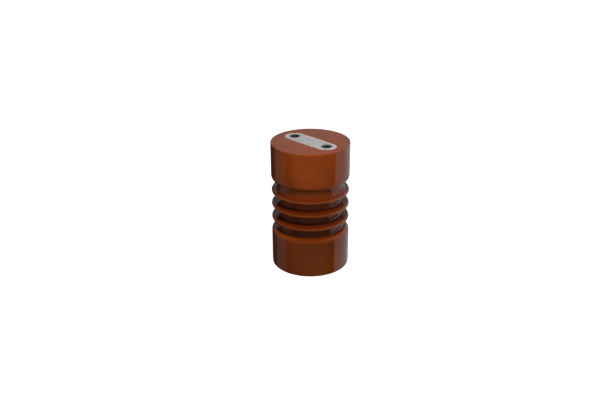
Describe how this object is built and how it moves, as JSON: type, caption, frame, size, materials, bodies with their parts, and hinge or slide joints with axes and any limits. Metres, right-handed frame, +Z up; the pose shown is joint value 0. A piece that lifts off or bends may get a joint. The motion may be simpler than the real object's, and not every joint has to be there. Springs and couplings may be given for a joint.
{
  "type": "porcelain busbar post insulator",
  "caption": "Ribbed cylindrical post insulator with a flush threaded steel bar in the head and a threaded bush in the base, for holding a busbar.",
  "frame": {"origin": "centre of the base's bottom face", "axes": "+Z up along the body's axis, X along the bar in the head"},
  "size_m": [0.0786, 0.0786, 0.13],
  "materials": {
    "glaze": "gloss",
    "steel": "satin",
    "cement": "matte",
    "cork": "matte"
  },
  "bodies": {
    "root": {"porcelain_body": "glaze", "top_bar": "steel", "top_bush_left": "steel", "top_bush_right": "steel", "top_cement": "cement", "top_pad": "cork", "base_bush": "steel", "base_cement": "cement", "base_pad": "cork"}
  },
  "joints": []
}
